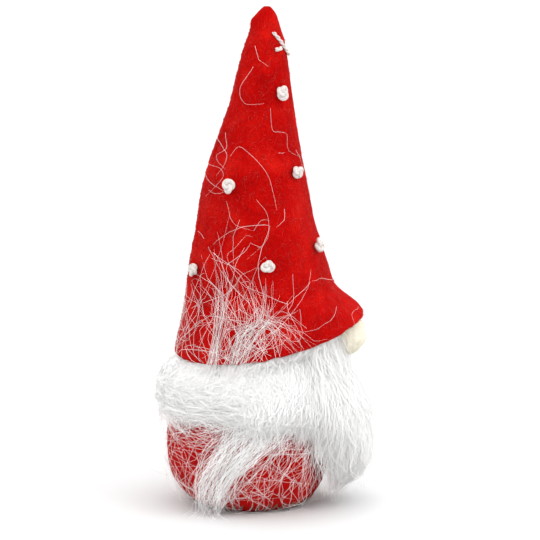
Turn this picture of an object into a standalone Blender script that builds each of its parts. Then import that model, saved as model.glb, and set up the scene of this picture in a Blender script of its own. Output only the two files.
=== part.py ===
"""Tomte gnome figurine: a weighted felt sack with a fur beard, a ball nose and a tall hat.

Units are metres and +Z is up. The gnome faces -Y, and the origin is the centre of the flat
face it stands on. Angles round the figure are measured from the front: 0 is -Y, 90 degrees
is +X and 180 degrees is the back.
"""
import math

import bmesh
import bpy
from mathutils import Matrix, Vector

MM = 0.001
GAP = 0.3 * MM
WELD = 0.01 * MM
FLAT_SPOT = 0.15 * MM  # how far a curved face's flat facets fall inside the true curve

# Driving sizes
TOTAL_HEIGHT = 150.5 * MM
FELT = 1.5 * MM
SACK_CLOTH = 1.2 * MM
BACKING_CLOTH = 0.9 * MM

# Each station is (height, centre on Y, radius)
SACK_STATIONS = [
    (0.5 * MM, 0.0, 16.3 * MM),
    (3.0 * MM, 0.4 * MM, 19.3 * MM),
    (8.0 * MM, 1.0 * MM, 22.4 * MM),
    (18.0 * MM, 1.3 * MM, 24.7 * MM),
    (28.0 * MM, 0.8 * MM, 24.2 * MM),
    (38.0 * MM, -0.5 * MM, 22.2 * MM),
    (47.5 * MM, -1.8 * MM, 18.3 * MM),
    (56.0 * MM, -2.3 * MM, 17.2 * MM),
    (62.0 * MM, -3.0 * MM, 16.0 * MM),
    (67.0 * MM, -3.1 * MM, 12.2 * MM),
    (70.5 * MM, -3.1 * MM, 7.2 * MM),
    (74.5 * MM, -3.1 * MM, 3.6 * MM),
    (79.5 * MM, -3.1 * MM, 6.4 * MM),
]
HAT_STATIONS = [
    (45.0 * MM, -2.8 * MM, 26.5 * MM),
    (60.0 * MM, -2.75 * MM, 23.05 * MM),
    (68.5 * MM, -2.3 * MM, 21.35 * MM),
    (76.0 * MM, -1.7 * MM, 19.85 * MM),
    (82.0 * MM, -1.3 * MM, 18.5 * MM),
    (90.0 * MM, -0.95 * MM, 17.1 * MM),
    (97.4 * MM, -1.1 * MM, 15.5 * MM),
    (103.5 * MM, -1.35 * MM, 14.0 * MM),
    (109.5 * MM, -1.75 * MM, 12.4 * MM),
    (115.6 * MM, -2.2 * MM, 10.9 * MM),
    (123.2 * MM, -3.0 * MM, 9.1 * MM),
    (130.8 * MM, -3.5 * MM, 7.75 * MM),
    (138.5 * MM, -4.1 * MM, 5.95 * MM),
    (143.6 * MM, -4.25 * MM, 4.3 * MM),
    (147.0 * MM, -4.2 * MM, 3.35 * MM),
    (149.4 * MM, -4.5 * MM, 2.35 * MM),
]

# Hat brim: lowest at the back, rising to the front, and peaked and pushed out over the nose
BRIM_BACK = 46.2 * MM
BRIM_RISE = 8.1 * MM
BRIM_RISE_POWER = 1.75
BRIM_PEAK = 4.7 * MM
BRIM_PEAK_SPREAD = math.radians(44.0)
BILL_REACH = 8.7 * MM
BILL_TOP = 66.3 * MM
BILL_FULL = 57.8 * MM
BILL_SPREAD = math.radians(50.0)

# Base, ballast and filling
BASE_RADIUS = 14.8 * MM
BASE_FELT = 1.5 * MM
CARD_RADIUS = 14.4 * MM
CARD_THICKNESS = 1.0 * MM
BALLAST_RADIUS = 13.5 * MM
BALLAST_TOP = 15.0 * MM
FILLING_TOP = 69.0 * MM
HAT_FILLING_BOTTOM = 83.0 * MM
HAT_FILLING_TOP = 143.0 * MM
HAT_ROWS = 16

# Hot glue that holds the hat on the sack
GLUE_RING_HEIGHT = 62.0 * MM
GLUE_RING_BEAD = 1.6 * MM

# Fur: two strips side by side round the sack, with their pile
FUR_TOP = 54.0 * MM
FUR_TOP_UNDER_NOSE = 42.5 * MM
BACKING_BOTTOM = 33.0 * MM
BEARD_HALF_ANGLE = math.radians(98.0)
STRIP_SPLIT = math.radians(2.0)
HAIR_BOTTOM = 27.0 * MM
BEARD_TIP = 5.5 * MM
BEARD_THICKNESS = 12.0 * MM
HAIR_THICKNESS = 4.2 * MM
PILE_ROOT = 1.85 * MM

# Nose
NOSE_RADIUS = 6.6 * MM
NOSE_CENTRE = Vector((0.0, -27.7 * MM, 51.3 * MM))
GLUE_PAD_RADIUS = 2.2 * MM

# Embroidery on the hat: (height, angle in degrees, turn in degrees) of each knot
KNOT_RADIUS = 2.3 * MM
KNOT_HALF_HEIGHT = 1.35 * MM
KNOTS = [
    (125.4 * MM, -54.5, 10.0),
    (123.0 * MM, 48.0, 65.0),
    (121.0 * MM, 128.0, 120.0),
    (101.9 * MM, -38.0, 35.0),
    (98.4 * MM, -118.0, 80.0),
    (99.5 * MM, 54.0, 150.0),
    (97.0 * MM, 138.0, 20.0),
    (79.0 * MM, -24.7, 95.0),
    (75.8 * MM, -81.0, 50.0),
    (72.5 * MM, -152.5, 5.0),
    (78.0 * MM, 38.0, 130.0),
    (75.0 * MM, 92.0, 75.0),
    (73.0 * MM, 143.0, 110.0),
]
YARN_RADIUS = 0.6 * MM
TIP_LONG_STITCH = ((142.9 * MM, -63.0), (135.6 * MM, -12.0))
TIP_SHORT_STITCH = ((138.0 * MM, -62.5), (138.3 * MM, -46.5))

# Sewing thread
THREAD_RADIUS = 0.3 * MM
SEAM_HALF_WIDTH = 1.3 * MM
HAT_SEAM_STITCHES = 22
BASE_SEAM_STITCHES = 30

# Principled colours, roughness
RED_FELT = ((0.62, 0.012, 0.012), 0.95)
WHITE_FUR = ((0.86, 0.85, 0.84), 0.75)
KNIT_BACKING = ((0.80, 0.79, 0.76), 0.95)
CREAM_FELT = ((0.80, 0.77, 0.66), 0.90)
WHITE_YARN = ((0.86, 0.84, 0.80), 0.85)
RED_THREAD = ((0.40, 0.015, 0.012), 0.70)
DARK_THREAD = ((0.16, 0.08, 0.05), 0.70)
CARDBOARD = ((0.42, 0.28, 0.16), 0.90)
WADDING = ((0.88, 0.88, 0.87), 0.95)
BALLAST_CLOTH = ((0.70, 0.64, 0.52), 0.95)
HOT_GLUE = ((0.80, 0.76, 0.62), 0.35)


def clear_scene():
    for obj in list(bpy.data.objects):
        bpy.data.objects.remove(obj, do_unlink=True)


def new_collection(name):
    collection = bpy.data.collections.new(name)
    bpy.context.scene.collection.children.link(collection)
    return collection


def new_material(name, finish):
    colour, roughness = finish
    material = bpy.data.materials.new(name)
    material.use_nodes = True
    shader = material.node_tree.nodes["Principled BSDF"]
    shader.inputs["Base Color"].default_value = (*colour, 1.0)
    shader.inputs["Roughness"].default_value = roughness
    shader.inputs["Metallic"].default_value = 0.0
    return material


def curve_through(stations, column, height):
    """Value of one station column at a height, on a smooth curve through the stations."""
    last = len(stations) - 1
    height = min(max(height, stations[0][0]), stations[last][0])
    index = 0
    while index < last - 1 and height > stations[index + 1][0]:
        index += 1
    slopes = []
    for point in (index, index + 1):
        below = stations[max(point - 1, 0)]
        above = stations[min(point + 1, last)]
        slopes.append((above[column] - below[column]) / (above[0] - below[0]))
    low = stations[index]
    high = stations[index + 1]
    span = high[0] - low[0]
    t = (height - low[0]) / span
    start = (2 * t**3 - 3 * t**2 + 1) * low[column] + (t**3 - 2 * t**2 + t) * span * slopes[0]
    end = (3 * t**2 - 2 * t**3) * high[column] + (t**3 - t**2) * span * slopes[1]
    return start + end


def ease(value, low, high):
    """Smooth step from 0 at low to 1 at high."""
    t = min(max((value - low) / (high - low), 0.0), 1.0)
    return t * t * (3.0 - 2.0 * t)


def polar(centre_y, radius, angle, height):
    return Vector((radius * math.sin(angle), centre_y - radius * math.cos(angle), height))


def sack_point(height, angle, offset=0.0):
    """Point on the sack's outer face, moved out by an offset."""
    centre = curve_through(SACK_STATIONS, 1, height)
    radius = curve_through(SACK_STATIONS, 2, height)
    return polar(centre, radius + offset, angle, height)


def brim_edge(angle):
    """Height of the hat's lower edge at an angle."""
    rise = BRIM_RISE * ((1.0 + math.cos(angle)) / 2.0) ** BRIM_RISE_POWER
    peak = BRIM_PEAK * math.exp(-((math.remainder(angle, math.tau) / BRIM_PEAK_SPREAD) ** 2))
    return BRIM_BACK + rise + peak


def hat_point(height, angle, offset=0.0):
    """Point on the hat's outer face, moved out by an offset."""
    centre = curve_through(HAT_STATIONS, 1, height)
    radius = curve_through(HAT_STATIONS, 2, height)
    bill = BILL_REACH * (1.0 - ease(height, BILL_FULL, BILL_TOP))
    bill *= math.exp(-((math.remainder(angle, math.tau) / BILL_SPREAD) ** 2))
    return polar(centre, radius + bill + offset, angle, height)


def hat_normal(height, angle):
    """Outward direction of the hat's face at a point."""
    along = hat_point(height + 0.5 * MM, angle) - hat_point(height - 0.5 * MM, angle)
    across = hat_point(height, angle + 0.02) - hat_point(height, angle - 0.02)
    return across.cross(along).normalized()


def link(name, mesh_or_curve, material, collection):
    obj = bpy.data.objects.new(name, mesh_or_curve)
    mesh_or_curve.materials.append(material)
    collection.objects.link(obj)
    return obj


def smooth(mesh, angle_degrees=50.0):
    mesh.shade_smooth()
    mesh.set_sharp_from_angle(angle=math.radians(angle_degrees))


def sheet_mesh(name, columns, rows, place):
    """Grid sheet whose point (u, v), each 0 to 1, is moved to place(u, v)."""
    mesh = bpy.data.meshes.new(name)
    bm = bmesh.new()
    bmesh.ops.create_grid(bm, x_segments=columns, y_segments=rows, size=0.5)
    for vert in bm.verts:
        vert.co = place(vert.co.x + 0.5, vert.co.y + 0.5)
    bmesh.ops.remove_doubles(bm, verts=bm.verts, dist=WELD)
    bm.to_mesh(mesh)
    bm.free()
    smooth(mesh)
    return mesh


def add_solidify(obj, thickness, outward=False):
    solid = obj.modifiers.new("Solidify", "SOLIDIFY")
    solid.thickness = thickness
    solid.offset = 1.0 if outward else -1.0
    return solid


def add_bevel(obj, width, segments=2):
    bevel = obj.modifiers.new("Bevel", "BEVEL")
    bevel.width = width
    bevel.segments = segments
    bevel.limit_method = "ANGLE"
    bevel.angle_limit = math.radians(40.0)
    return bevel


def disc(name, radius, bottom, top, centre_y, material, collection, segments=32):
    """Flat round disc with softened edges."""
    mesh = bpy.data.meshes.new(name)
    bm = bmesh.new()
    bmesh.ops.create_cone(
        bm, cap_ends=True, segments=segments, radius1=radius, radius2=radius, depth=top - bottom)
    bm.to_mesh(mesh)
    bm.free()
    smooth(mesh)
    obj = link(name, mesh, material, collection)
    obj.location = (0.0, centre_y, (bottom + top) / 2.0)
    add_bevel(obj, (top - bottom) * 0.3, segments=1)
    return obj


def turned(name, outline, centre_y, material, collection, steps=24):
    """Solid of revolution: outline holds (radius, height) points, top to bottom."""
    mesh = bpy.data.meshes.new(name)
    points = [(radius, 0.0, height) for radius, height in outline]
    edges = [(index, index + 1) for index in range(len(points) - 1)]
    mesh.from_pydata(points, edges, [])
    obj = link(name, mesh, material, collection)
    obj.location = (0.0, centre_y, 0.0)
    screw = obj.modifiers.new("Screw", "SCREW")
    screw.steps = steps
    screw.render_steps = steps
    screw.use_merge_vertices = True
    screw.merge_threshold = WELD
    screw.use_smooth_shade = True
    return obj


def thread(name, points, radius, material, collection, cyclic=False):
    """Round thread through a list of points."""
    curve = bpy.data.curves.new(name, "CURVE")
    curve.dimensions = "3D"
    curve.bevel_depth = radius
    curve.bevel_resolution = 1
    curve.use_fill_caps = not cyclic
    spline = curve.splines.new("POLY")
    spline.points.add(len(points) - 1)
    for target, point in zip(spline.points, points):
        target.co = (*point, 1.0)
    spline.use_cyclic_u = cyclic
    return link(name, curve, material, collection)


def make_base(parts, materials):
    disc("base_disc", BASE_RADIUS, 0.0, BASE_FELT, 0.0, materials["red_felt"], parts)
    card_bottom = BASE_FELT + GAP
    card_top = card_bottom + CARD_THICKNESS
    disc("base_stiffener", CARD_RADIUS, card_bottom, card_top, 0.0, materials["cardboard"], parts)
    ballast_bottom = card_top + GAP
    middle = (ballast_bottom + BALLAST_TOP) / 2.0
    half = (BALLAST_TOP - ballast_bottom) / 2.0
    outline = []
    for step in range(11):
        angle = math.pi * (0.5 - step / 10.0)
        reach = abs(math.cos(angle)) ** 0.6
        rise = math.copysign(abs(math.sin(angle)) ** 0.8, math.sin(angle))
        outline.append((BALLAST_RADIUS * reach, middle + half * rise))
    outline[0] = (0.0, BALLAST_TOP)
    outline[-1] = (0.0, ballast_bottom)
    turned("ballast_pouch", outline, 0.0, materials["ballast_cloth"], parts)


def make_sack(parts, materials):
    bottom = SACK_STATIONS[0][0]
    top = SACK_STATIONS[-1][0]

    def place(u, v):
        return sack_point(bottom + (top - bottom) * v, math.tau * (u - 0.5))

    cover = link("body_cover", sheet_mesh("body_cover", 28, 18, place), materials["red_felt"], parts)
    add_solidify(cover, SACK_CLOTH)

    neck = SACK_STATIONS[-2]
    tie_radius = 2.0 * THREAD_RADIUS
    ring_radius = neck[2] + 3.0 * GAP + tie_radius
    points = [polar(neck[1], ring_radius, math.tau * step / 20, neck[0]) for step in range(20)]
    thread("gather_tie", points, tie_radius, materials["white_yarn"], parts, cyclic=True)


def filling_place(u, v):
    """Closed skin of the filling: over the top, down inside the sack and up round the ballast."""
    angle = math.tau * (u - 0.5)
    inset = SACK_CLOTH + 3.0 * GAP
    low = BASE_FELT + CARD_THICKNESS + 4.0 * GAP
    pocket_radius = BALLAST_RADIUS + 0.8 * MM
    pocket_top = BALLAST_TOP + 1.2 * MM
    if v >= 0.3:
        height = low + (FILLING_TOP - low) * (v - 0.3) / 0.7
        point = sack_point(height, angle, -inset)
        if v > 0.999:
            point = polar(curve_through(SACK_STATIONS, 1, height), 0.0, angle, height)
        return point
    rise = ease(v, 0.0, 0.12)
    if v < 0.13:
        return polar(0.0, pocket_radius * rise, angle, pocket_top)
    return polar(0.0, pocket_radius, angle, low)


def make_filling(parts, materials):
    mesh = sheet_mesh("body_filling", 20, 16, filling_place)
    bm = bmesh.new()
    bm.from_mesh(mesh)
    bmesh.ops.recalc_face_normals(bm, faces=bm.faces)
    bm.to_mesh(mesh)
    bm.free()
    link("body_filling", mesh, materials["wadding"], parts)

    def place(u, v):
        height = HAT_FILLING_BOTTOM + (HAT_FILLING_TOP - HAT_FILLING_BOTTOM) * v
        inset = -FELT - 2.0 * GAP
        point = hat_point(height, math.tau * (u - 0.5), inset)
        if v < 0.001 or v > 0.999:
            return polar(curve_through(HAT_STATIONS, 1, height), 0.0, 0.0, height)
        return point

    link("hat_filling", sheet_mesh("hat_filling", 20, 8, place), materials["wadding"], parts)


def make_hat(parts, materials):
    top = HAT_STATIONS[-1][0]
    cap_start = 1.0 - 1.0 / HAT_ROWS

    def place(u, v):
        angle = math.tau * (u - 0.5)
        low = brim_edge(angle)
        if v > 0.999:
            return polar(HAT_STATIONS[-1][1], 0.0, 0.0, TOTAL_HEIGHT)
        return hat_point(low + (top - low) * min(v / cap_start, 1.0), angle)

    hat = link("hat", sheet_mesh("hat", 32, HAT_ROWS, place), materials["red_felt"], parts)
    add_solidify(hat, FELT)
    make_hat_seam(parts, materials)

    inner = curve_through(SACK_STATIONS, 2, GLUE_RING_HEIGHT)
    outer = curve_through(HAT_STATIONS, 2, GLUE_RING_HEIGHT) - FELT
    centre = curve_through(HAT_STATIONS, 1, GLUE_RING_HEIGHT)
    ring = [polar(centre, (inner + outer) / 2.0, math.tau * step / 28, GLUE_RING_HEIGHT)
            for step in range(28)]
    thread("hat_glue_ring", ring, GLUE_RING_BEAD, materials["hot_glue"], parts, cyclic=True)


def make_hat_seam(parts, materials):
    """Whip stitches that close the hat's felt down the middle of the back."""
    low = BRIM_BACK + 2.5 * MM
    high = HAT_STATIONS[-1][0] - 5.0 * MM
    stand_off = GAP + THREAD_RADIUS + FLAT_SPOT
    points = []
    for stitch in range(2 * HAT_SEAM_STITCHES + 1):
        height = low + (high - low) * stitch / (2 * HAT_SEAM_STITCHES)
        side = 1.0 if stitch % 2 else -1.0
        radius = curve_through(HAT_STATIONS, 2, height)
        width = min(SEAM_HALF_WIDTH, 0.35 * radius)
        points.append(hat_point(height, math.pi + side * width / radius, stand_off))
    thread("hat_seam_thread", points, THREAD_RADIUS, materials["red_thread"], parts)


def make_base_seam(parts, materials):
    points = []
    for stitch in range(2 * BASE_SEAM_STITCHES):
        angle = math.tau * stitch / (2 * BASE_SEAM_STITCHES)
        height = 1.1 * MM if stitch % 2 else 3.4 * MM
        points.append(sack_point(height, angle, THREAD_RADIUS + 2.0 * GAP))
    thread("base_seam_thread", points, THREAD_RADIUS, materials["dark_thread"], parts, cyclic=True)


def fur_top(angle):
    """Upper edge of the fur strips, dipping under the nose."""
    return FUR_TOP_UNDER_NOSE + (FUR_TOP - FUR_TOP_UNDER_NOSE) * ease(
        abs(angle), math.radians(12.0), math.radians(46.0))


def backing_place(first_angle, last_angle):
    def place(u, v):
        angle = first_angle + (last_angle - first_angle) * u
        height = BACKING_BOTTOM + (fur_top(angle) - BACKING_BOTTOM) * v
        return sack_point(height, angle, GAP + FLAT_SPOT)
    return place


def beard_bottom(angle):
    return BEARD_TIP + (HAIR_BOTTOM - BEARD_TIP) * ease(
        abs(angle), math.radians(14.0), math.radians(56.0))


def hair_bottom(angle):
    return HAIR_BOTTOM


def pile_place(first_angle, last_angle, bottom):
    def place(u, v):
        angle = first_angle + (last_angle - first_angle) * u
        low = bottom(angle)
        height = low + (fur_top(angle) - low) * v
        return sack_point(height, angle, PILE_ROOT)
    return place


def beard_fullness(height, angle):
    """Share of the beard's thickness at a place: fullest at the front, under the brim."""
    turn = abs(angle)
    share = 0.30 + 0.70 * (1.0 - ease(turn, math.radians(8.0), math.radians(70.0)))
    share *= 0.55 + 0.45 * ease(height, BEARD_TIP, 18.0 * MM)
    share *= 1.0 - 0.45 * ease(height, 24.0 * MM, 40.0 * MM)
    return share


def hair_fullness(height, angle):
    """Share of the hair's thickness at a place: fullest just under the brim."""
    return 0.4 + 0.6 * ease(height, HAIR_BOTTOM, 40.0 * MM)


def pile(name, first_angle, last_angle, bottom, thickness, fullness, columns, parts, materials):
    """Fur pile as one soft solid, thin at its edges and under the hat."""
    rows = 9
    mesh = sheet_mesh(name, columns, rows, pile_place(first_angle, last_angle, bottom))
    obj = link(name, mesh, materials["white_fur"], parts)
    group = obj.vertex_groups.new(name="fullness")
    for vert in mesh.vertices:
        centre = curve_through(SACK_STATIONS, 1, vert.co.z)
        angle = math.atan2(vert.co.x, centre - vert.co.y)
        share = fullness(vert.co.z, angle)
        free = ease(brim_edge(angle) - vert.co.z, 1.8 * MM, 6.8 * MM)
        if abs(angle) < math.radians(46.0):
            free *= ease(NOSE_CENTRE.z - NOSE_RADIUS - vert.co.z, 0.6 * MM, 5.0 * MM)
        edge = ease(vert.co.z - bottom(angle), -1.0 * MM, 4.0 * MM)
        thinnest = 1.1 * MM / thickness
        group.add([vert.index], thinnest + (1.0 - thinnest) * share * free * edge, "REPLACE")
    solid = add_solidify(obj, thickness, outward=True)
    solid.vertex_group = group.name
    return obj


def make_fur(parts, materials):
    beard = (-BEARD_HALF_ANGLE, BEARD_HALF_ANGLE)
    hair = (BEARD_HALF_ANGLE + STRIP_SPLIT, math.tau - BEARD_HALF_ANGLE - STRIP_SPLIT)
    for name, span, columns in (("beard_backing", beard, 22), ("hair_backing", hair, 16)):
        mesh = sheet_mesh(name, columns, 4, backing_place(*span))
        strip = link(name, mesh, materials["knit_backing"], parts)
        add_solidify(strip, BACKING_CLOTH, outward=True)
    pile("beard_pile", *beard, beard_bottom, BEARD_THICKNESS, beard_fullness, 24, parts, materials)
    pile("hair_pile", *hair, hair_bottom, HAIR_THICKNESS, hair_fullness, 16, parts, materials)


def make_nose(parts, materials):
    mesh = bpy.data.meshes.new("nose_ball")
    bm = bmesh.new()
    bmesh.ops.create_uvsphere(bm, u_segments=20, v_segments=12, radius=NOSE_RADIUS)
    bm.to_mesh(mesh)
    bm.free()
    smooth(mesh)
    nose = link("nose_ball", mesh, materials["cream_felt"], parts)
    nose.location = NOSE_CENTRE

    front_of_sack = sack_point(NOSE_CENTRE.z, 0.0).y
    back_of_nose = NOSE_CENTRE.y + NOSE_RADIUS
    thickness = front_of_sack - back_of_nose - 2.0 * GAP
    pad_mesh = bpy.data.meshes.new("nose_glue_pad")
    bm = bmesh.new()
    bmesh.ops.create_cone(bm, cap_ends=True, segments=20, radius1=GLUE_PAD_RADIUS,
                          radius2=GLUE_PAD_RADIUS, depth=thickness)
    bm.to_mesh(pad_mesh)
    bm.free()
    pad = link("nose_glue_pad", pad_mesh, materials["hot_glue"], parts)
    pad.rotation_euler = (math.pi / 2.0, 0.0, 0.0)
    pad.location = (0.0, (front_of_sack + back_of_nose) / 2.0, NOSE_CENTRE.z)


def knot_mesh():
    """Flattened ball with the lobes of thread wound round a needle."""
    mesh = bpy.data.meshes.new("hat_knot")
    bm = bmesh.new()
    bmesh.ops.create_uvsphere(bm, u_segments=12, v_segments=6, radius=1.0)
    for vert in bm.verts:
        turn = math.atan2(vert.co.y, vert.co.x)
        flat = math.hypot(vert.co.x, vert.co.y)
        lobes = 1.0 + 0.10 * flat * math.cos(3.0 * turn)
        vert.co.x *= KNOT_RADIUS * lobes
        vert.co.y *= KNOT_RADIUS * lobes
        vert.co.z *= KNOT_HALF_HEIGHT
    bm.to_mesh(mesh)
    bm.free()
    smooth(mesh)
    return mesh


def make_embroidery(parts, materials):
    mesh = knot_mesh()
    mesh.materials.append(materials["white_yarn"])
    for number, (height, degrees, turn) in enumerate(KNOTS, start=1):
        angle = math.radians(degrees)
        normal = hat_normal(height, angle)
        knot = bpy.data.objects.new(f"hat_knot_{number:02d}", mesh)
        parts.objects.link(knot)
        stand_off = KNOT_HALF_HEIGHT + GAP + 2.0 * FLAT_SPOT
        spin = Matrix.Rotation(math.radians(turn), 4, "Z")
        facing = normal.to_track_quat("Z", "Y").to_matrix().to_4x4()
        knot.matrix_world = Matrix.Translation(
            hat_point(height, angle) + normal * stand_off) @ facing @ spin

    stitches = (("tip_stitch_long", TIP_LONG_STITCH, 6), ("tip_stitch_short", TIP_SHORT_STITCH, 3))
    for name, (start, end), spans in stitches:
        points = []
        for step in range(spans + 1):
            share = step / spans
            height = start[0] + (end[0] - start[0]) * share
            angle = math.radians(start[1] + (end[1] - start[1]) * share)
            points.append(hat_point(height, angle, YARN_RADIUS + GAP + FLAT_SPOT))
        thread(name, points, YARN_RADIUS, materials["white_yarn"], parts)


def main():
    clear_scene()
    parts = new_collection("tomte_gnome")
    finishes = {
        "red_felt": RED_FELT,
        "white_fur": WHITE_FUR,
        "knit_backing": KNIT_BACKING,
        "cream_felt": CREAM_FELT,
        "white_yarn": WHITE_YARN,
        "red_thread": RED_THREAD,
        "dark_thread": DARK_THREAD,
        "cardboard": CARDBOARD,
        "wadding": WADDING,
        "ballast_cloth": BALLAST_CLOTH,
        "hot_glue": HOT_GLUE,
    }
    materials = {name: new_material(name, finish) for name, finish in finishes.items()}
    make_base(parts, materials)
    make_sack(parts, materials)
    make_filling(parts, materials)
    make_base_seam(parts, materials)
    make_fur(parts, materials)
    make_nose(parts, materials)
    make_hat(parts, materials)
    make_embroidery(parts, materials)


main()
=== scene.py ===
import math

import bmesh
import bpy
import numpy as np
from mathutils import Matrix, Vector
from mathutils.bvhtree import BVHTree


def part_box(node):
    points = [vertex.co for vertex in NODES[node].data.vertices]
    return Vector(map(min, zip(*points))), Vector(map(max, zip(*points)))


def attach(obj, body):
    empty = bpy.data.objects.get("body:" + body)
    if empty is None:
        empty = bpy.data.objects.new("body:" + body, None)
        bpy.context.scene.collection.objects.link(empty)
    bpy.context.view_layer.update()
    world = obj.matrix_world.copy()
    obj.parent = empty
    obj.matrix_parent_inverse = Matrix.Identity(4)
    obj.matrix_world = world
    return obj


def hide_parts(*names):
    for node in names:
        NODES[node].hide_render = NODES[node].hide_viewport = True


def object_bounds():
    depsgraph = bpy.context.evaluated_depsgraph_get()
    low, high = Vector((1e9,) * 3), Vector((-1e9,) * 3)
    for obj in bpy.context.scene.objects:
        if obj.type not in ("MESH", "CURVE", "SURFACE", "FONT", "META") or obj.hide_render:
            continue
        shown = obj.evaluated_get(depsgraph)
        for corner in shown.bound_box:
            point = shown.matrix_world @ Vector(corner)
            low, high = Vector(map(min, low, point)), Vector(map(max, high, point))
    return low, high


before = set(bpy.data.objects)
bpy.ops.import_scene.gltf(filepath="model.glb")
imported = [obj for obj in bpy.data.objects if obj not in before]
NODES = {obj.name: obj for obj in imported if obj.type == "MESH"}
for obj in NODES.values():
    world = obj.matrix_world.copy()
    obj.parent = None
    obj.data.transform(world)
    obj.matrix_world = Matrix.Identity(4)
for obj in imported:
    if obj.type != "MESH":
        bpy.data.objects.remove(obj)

# The gnome faces -Y and stands on z = 0. Angles round it are measured from the front:
# 0 is -Y, +90 degrees is +X, and 180 degrees is the back.
TAU = math.tau
MM = 0.001
CAD_LOW, CAD_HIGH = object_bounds()
HEIGHT = CAD_HIGH.z

# Felt, stitches, knots and nose
FELT = 1.5 * MM
SACK_CLOTH = 1.2 * MM
SEAM_DEPTH = 0.22 * MM
TIP_LUMP = 1.0 * MM
TIP_LUMP_HEIGHT = 145.6 * MM
BASE_STITCHES = 46
HAT_STITCHES = 30
KNOTS = 13
NOSE_LOW, NOSE_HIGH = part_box("nose_ball")
NOSE_CENTRE = (NOSE_LOW + NOSE_HIGH) / 2.0
NOSE_RADIUS = (NOSE_HIGH.z - NOSE_LOW.z) / 2.0

# Fur and fibres; sideways curl in mm becomes an angle at these mean radii, also in mm
FUR_RADIUS = 24.0
HAT_RADIUS = 23.0
STRANDS_PER_PIECE = 3000
UNDERCOAT_ROWS = 24
FIBRE_STAND = 0.33

# Waves summed in a random field
WAVES = 26

# Cloth simulation of the felt, carried out on an enlarged copy
CLOTH_ENLARGED = 20.0
CLOTH_FRAMES = 16
CLOTH_SETTINGS = {
    "quality": 5, "mass": 0.2, "tension_stiffness": 30.0, "compression_stiffness": 30.0,
    "shear_stiffness": 20.0, "tension_damping": 15.0, "compression_damping": 15.0,
    "air_damping": 4.0, "use_pressure": True, "uniform_pressure_force": 0.5,
}

# Camera
CAMERA_DISTANCE = 1.6
CAMERA_AZIMUTH = math.radians(-90.0)
CAMERA_ELEVATION = math.radians(12.0)
CAMERA_AIM = Vector((0.0, -5.4 * MM, 70.5 * MM))
VIEW_WIDTH = 160.7 * MM
SENSOR = 36.0

# Studio light: softboxes round the middle of the figure
LIGHT_DISTANCE = 0.9
LIGHT_AIM = Vector((0.0, 0.0, 0.07))
WORLD_STRENGTH = 1.9
FLOOR_RADIUS = 9.0


# ---------------------------------------------------------------- small helpers

def ease(value, low, high):
    """Smooth step from 0 at low to 1 at high, for numbers and arrays."""
    t = np.clip((value - low) / (high - low), 0.0, 1.0)
    return t * t * (3.0 - 2.0 * t)


def wave_field(points, size, seed):
    """Smooth random field of unit spread whose bumps are about size across."""
    rng = np.random.default_rng(seed)
    directions = rng.normal(size=(WAVES, 3))
    directions /= np.linalg.norm(directions, axis=1)[:, None]
    directions *= (TAU / (2.0 * size) * rng.uniform(0.6, 1.4, WAVES))[:, None]
    phases = rng.uniform(0.0, TAU, WAVES)
    shape = points.shape[:-1]
    flat = points.reshape(-1, 3)
    total = np.zeros(len(flat))
    for direction, phase in zip(directions, phases):
        total += np.cos(flat @ direction + phase)
    return (total * math.sqrt(2.0 / WAVES)).reshape(shape)


def unit(vectors):
    return vectors / np.maximum(np.linalg.norm(vectors, axis=-1, keepdims=True), 1e-12)


def link(name, data):
    obj = bpy.data.objects.new(name, data)
    bpy.context.scene.collection.objects.link(obj)
    return obj


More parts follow.
